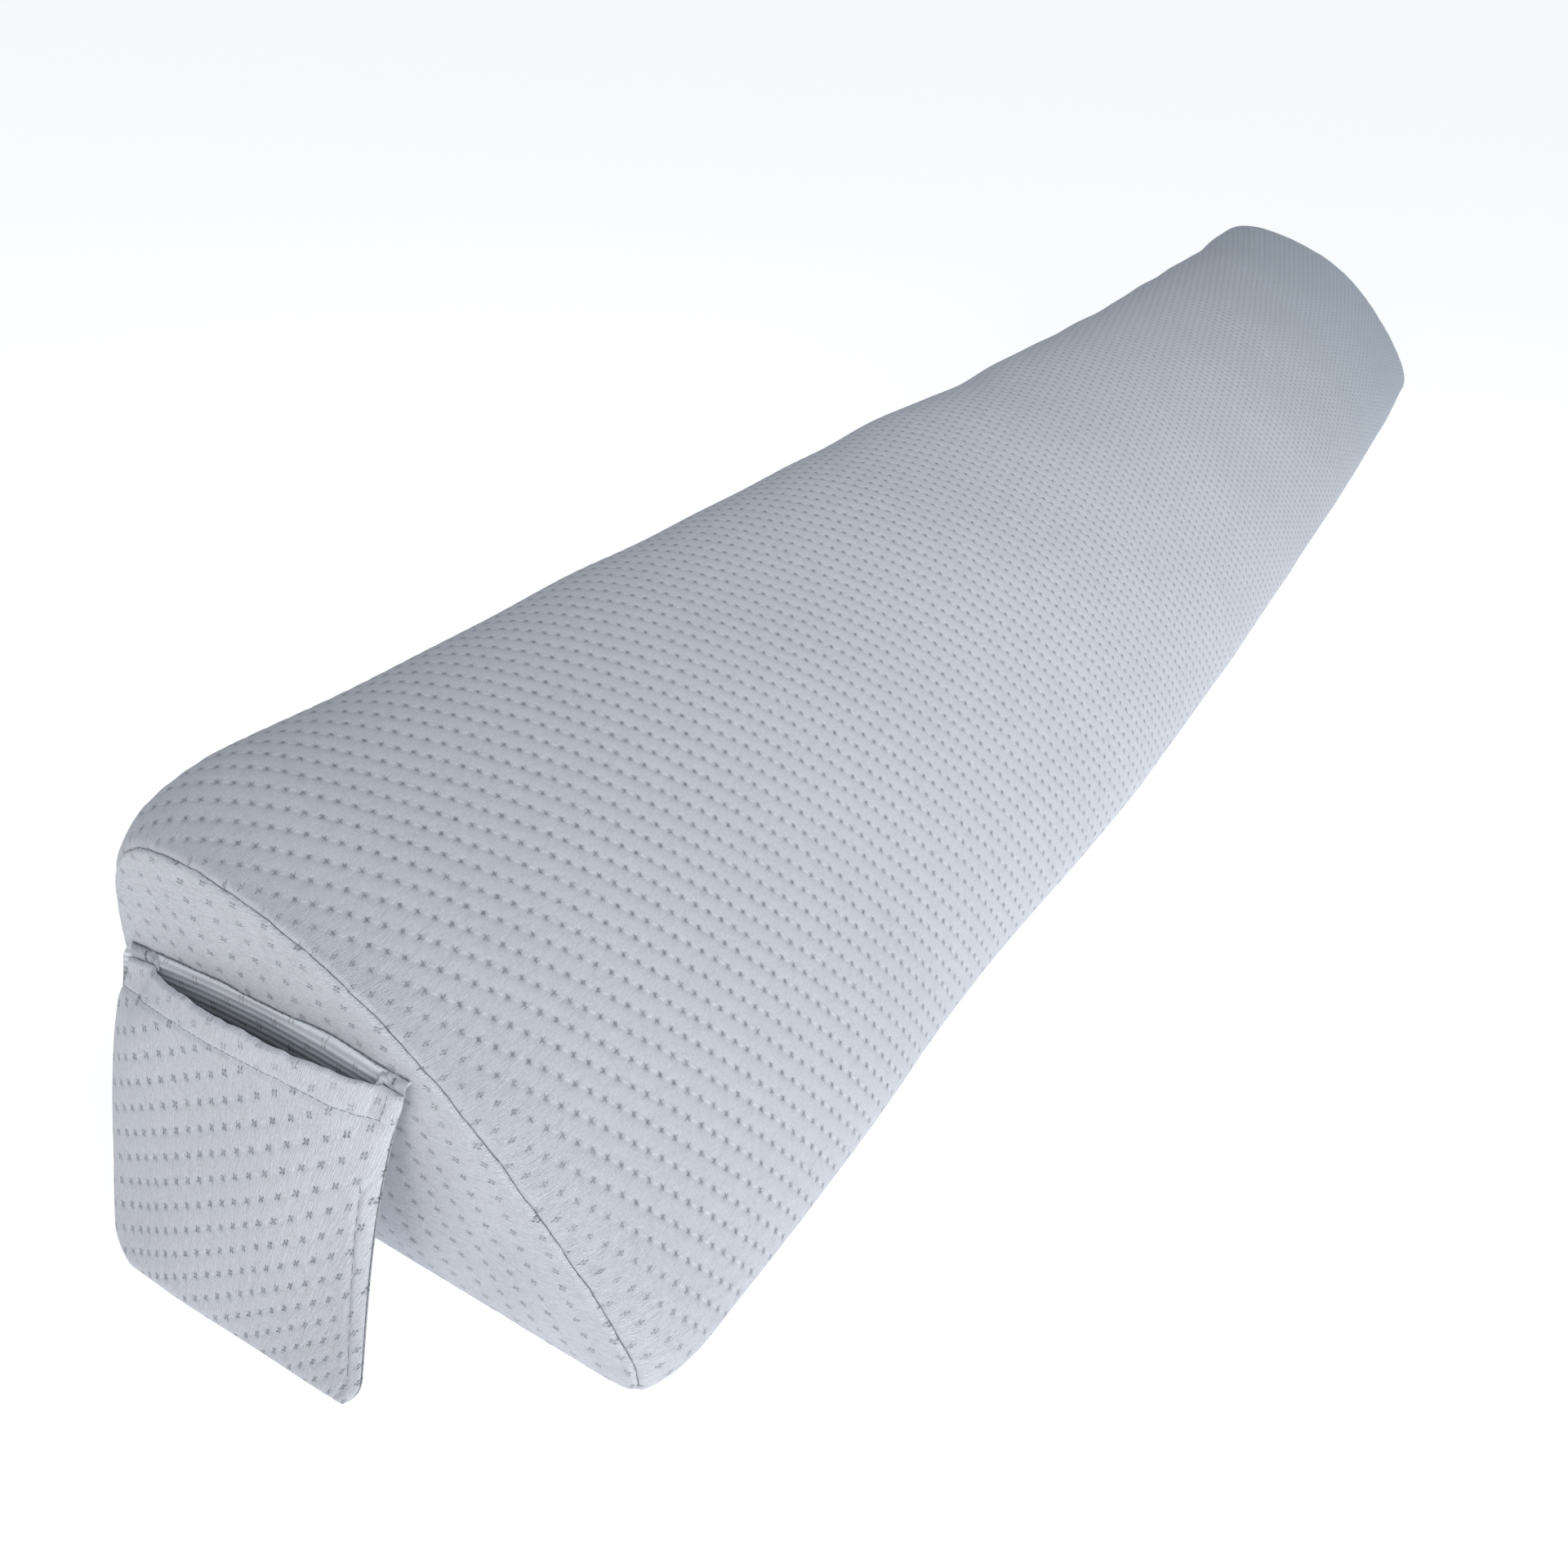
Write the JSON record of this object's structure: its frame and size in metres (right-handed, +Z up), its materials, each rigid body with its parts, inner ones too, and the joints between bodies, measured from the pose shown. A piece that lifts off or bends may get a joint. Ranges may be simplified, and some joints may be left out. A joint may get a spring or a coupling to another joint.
{
  "type": "wedge pillow",
  "caption": "Long soft wedge pillow with an upright back, a full crowned slope down to a low nose, a flat base, sewn end panels and a small open pocket hanging at one end.",
  "frame": {"origin": "in the flat base, at the middle of the length", "axes": "+Y along the length away from the end with the pocket, +X from the upright back towards the low nose, +Z up"},
  "size_m": [0.2632, 1.5884, 0.1615],
  "materials": {
    "cover_knit": "soft matte jacquard knit with small darker dots",
    "panel_knit": "the same knit with its grain turned, a little puckered at the seam",
    "pocket_knit": "the same knit, hemmed at the mouth",
    "pocket_lining_side": "reverse side of the knit, with fine ribs"
  },
  "bodies": {
    "root": {"wedge_body": "cover_knit", "end_panel_near": "panel_knit", "end_panel_far": "panel_knit", "pocket_back": "pocket_lining_side", "pocket_front": "pocket_knit"}
  },
  "joints": []
}
